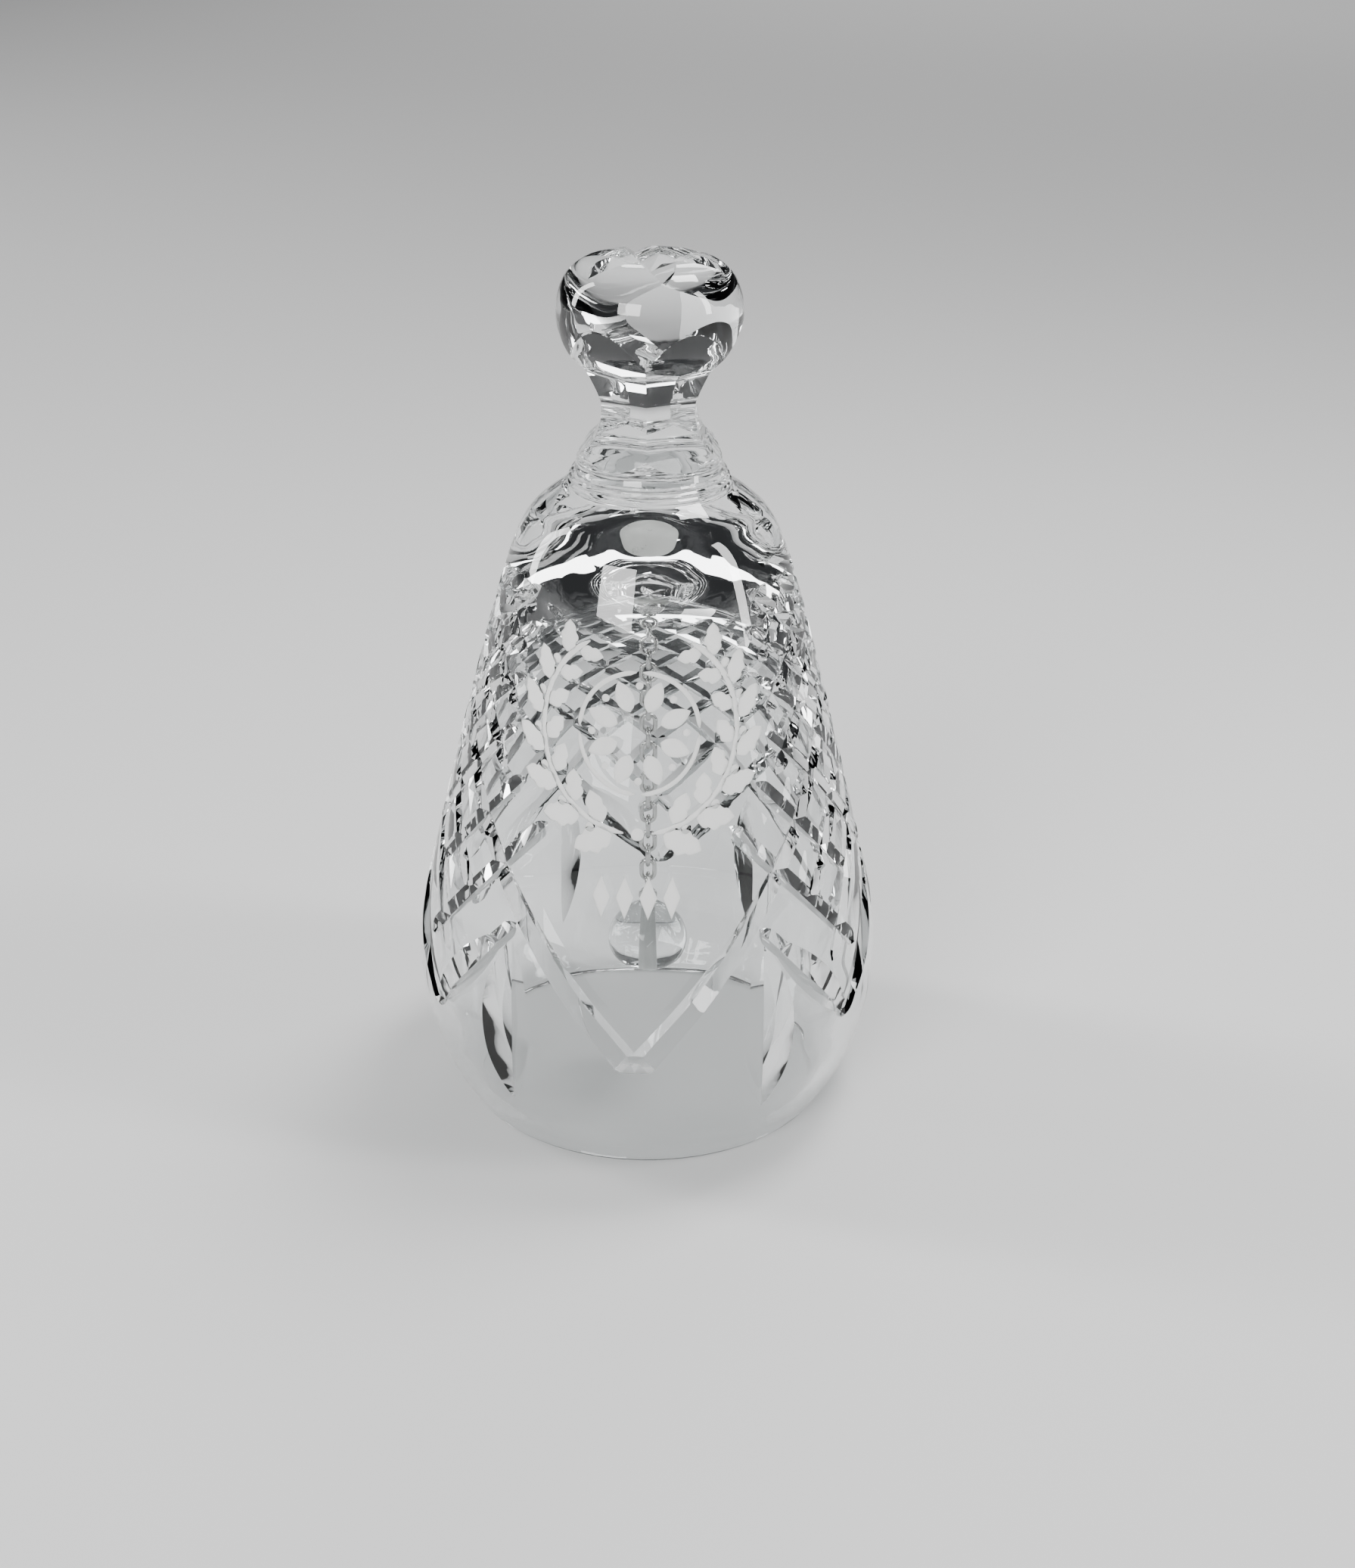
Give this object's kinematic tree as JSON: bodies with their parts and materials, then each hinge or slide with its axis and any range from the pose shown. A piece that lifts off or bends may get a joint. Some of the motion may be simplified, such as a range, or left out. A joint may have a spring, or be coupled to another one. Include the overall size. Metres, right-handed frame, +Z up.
{
  "type": "glass hand bell",
  "caption": "Small hand bell of cut clear glass with a solid six-sided neck, a knob, and a drilled glass ball clapper on a fine metal chain.",
  "frame": {"origin": "centre of the mouth, on the plane that the rim stands on", "axes": "+Z up through the knob, front motif towards -Y, +X to the right seen from the front"},
  "size_m": [0.0662, 0.0664, 0.12],
  "materials": {
    "clear_glass": "clear lead glass, cut and polished, with a satin etched front motif",
    "cement": "clear-grey set adhesive",
    "hanger_metal": "bright plated, slightly dulled",
    "chain_metal": "bright plated wire",
    "ball_glass": "clear polished glass with a ground bore"
  },
  "bodies": {
    "bell": {"glass_body": "clear_glass", "hanger_cement": "cement", "hanger_cup": "hanger_metal", "hanger_eye": "hanger_metal"},
    "chain_link_01": {"chain_link_01": "chain_metal"},
    "chain_link_02": {"chain_link_02": "chain_metal"},
    "chain_link_03": {"chain_link_03": "chain_metal"},
    "chain_link_04": {"chain_link_04": "chain_metal"},
    "chain_link_05": {"chain_link_05": "chain_metal"},
    "chain_link_06": {"chain_link_06": "chain_metal"},
    "chain_link_07": {"chain_link_07": "chain_metal"},
    "chain_link_08": {"chain_link_08": "chain_metal"},
    "chain_link_09": {"chain_link_09": "chain_metal"},
    "chain_link_10": {"chain_link_10": "chain_metal"},
    "chain_link_11": {"chain_link_11": "chain_metal"},
    "chain_link_12": {"chain_link_12": "chain_metal"},
    "chain_link_13": {"chain_link_13": "chain_metal"},
    "chain_link_14": {"chain_link_14": "chain_metal"},
    "chain_link_15": {"chain_link_15": "chain_metal"},
    "chain_link_16": {"chain_link_16": "chain_metal"},
    "chain_link_17": {"chain_link_17": "chain_metal"},
    "chain_link_18": {"chain_link_18": "chain_metal"},
    "chain_link_19": {"chain_link_19": "chain_metal"},
    "clapper_pin": {"clapper_pin": "chain_metal"},
    "clapper_ball": {"clapper_ball": "ball_glass"}
  },
  "joints": [
    {"name": "chain_hinge_01", "type": "hinge", "parent": "bell", "child": "chain_link_01", "pos_m": [0, 0, 0.07393], "axis": [1, 0, 0], "range_deg": [-8.8, 8.8]},
    {"name": "chain_hinge_02", "type": "hinge", "parent": "chain_link_01", "child": "chain_link_02", "pos_m": [0, 0, 0.07157], "axis": [0, 1, 0], "range_deg": [-9.3, 9.3]},
    {"name": "chain_hinge_03", "type": "hinge", "parent": "chain_link_02", "child": "chain_link_03", "pos_m": [0, 0, 0.06922], "axis": [-1, 0, 0], "range_deg": [-9.7, 9.7]},
    {"name": "chain_hinge_04", "type": "hinge", "parent": "chain_link_03", "child": "chain_link_04", "pos_m": [0, 0, 0.06688], "axis": [0, -1, 0], "range_deg": [-10.2, 10.2]},
    {"name": "chain_hinge_05", "type": "hinge", "parent": "chain_link_04", "child": "chain_link_05", "pos_m": [0, 0, 0.06452], "axis": [-1, 0, 0], "range_deg": [-10.8, 10.8]},
    {"name": "chain_hinge_06", "type": "hinge", "parent": "chain_link_05", "child": "chain_link_06", "pos_m": [0, 0, 0.06218], "axis": [0, -1, 0], "range_deg": [-11.5, 11.5]},
    {"name": "chain_hinge_07", "type": "hinge", "parent": "chain_link_06", "child": "chain_link_07", "pos_m": [0, 0, 0.05983], "axis": [1, 0, 0], "range_deg": [-12.2, 12.2]},
    {"name": "chain_hinge_08", "type": "hinge", "parent": "chain_link_07", "child": "chain_link_08", "pos_m": [0, 0, 0.05747], "axis": [0, 1, 0], "range_deg": [-13, 13]},
    {"name": "chain_hinge_09", "type": "hinge", "parent": "chain_link_08", "child": "chain_link_09", "pos_m": [0, 0, 0.05513], "axis": [1, 0, 0], "range_deg": [-13.9, 13.9]},
    {"name": "chain_hinge_10", "type": "hinge", "parent": "chain_link_09", "child": "chain_link_10", "pos_m": [0, 0, 0.05278], "axis": [0, 1, 0], "range_deg": [-15, 15]},
    {"name": "chain_hinge_11", "type": "hinge", "parent": "chain_link_10", "child": "chain_link_11", "pos_m": [0, 0, 0.05042], "axis": [-1, 0, 0], "range_deg": [-16.3, 16.3]},
    {"name": "chain_hinge_12", "type": "hinge", "parent": "chain_link_11", "child": "chain_link_12", "pos_m": [0, 0, 0.04807], "axis": [0, -1, 0], "range_deg": [-17.8, 17.8]},
    {"name": "chain_hinge_13", "type": "hinge", "parent": "chain_link_12", "child": "chain_link_13", "pos_m": [0, 0, 0.04573], "axis": [-1, 0, 0], "range_deg": [-19.6, 19.6]},
    {"name": "chain_hinge_14", "type": "hinge", "parent": "chain_link_13", "child": "chain_link_14", "pos_m": [0, 0, 0.04337], "axis": [0, -1, 0], "range_deg": [-21.9, 21.9]},
    {"name": "chain_hinge_15", "type": "hinge", "parent": "chain_link_14", "child": "chain_link_15", "pos_m": [0, 0, 0.04102], "axis": [1, 0, 0], "range_deg": [-24, 24]},
    {"name": "chain_hinge_16", "type": "hinge", "parent": "chain_link_15", "child": "chain_link_16", "pos_m": [0, 0, 0.03868], "axis": [0, 1, 0], "range_deg": [-24, 24]},
    {"name": "chain_hinge_17", "type": "hinge", "parent": "chain_link_16", "child": "chain_link_17", "pos_m": [0, 0, 0.03633], "axis": [1, 0, 0], "range_deg": [-24, 24]},
    {"name": "chain_hinge_18", "type": "hinge", "parent": "chain_link_17", "child": "chain_link_18", "pos_m": [0, 0, 0.03397], "axis": [0, 1, 0], "range_deg": [-24, 24]},
    {"name": "chain_hinge_19", "type": "hinge", "parent": "chain_link_18", "child": "chain_link_19", "pos_m": [0, 0, 0.03163], "axis": [-1, 0, 0], "range_deg": [-24, 24]},
    {"name": "pin_hinge", "type": "hinge", "parent": "chain_link_19", "child": "clapper_pin", "pos_m": [0, 0, 0.02927], "axis": [0, -1, 0], "range_deg": [-24, 24]},
    {"name": "ball_spin", "type": "hinge", "parent": "clapper_pin", "child": "clapper_ball", "pos_m": [0, 0, 0.0219], "axis": [0, 0, 1], "continuous": true}
  ]
}
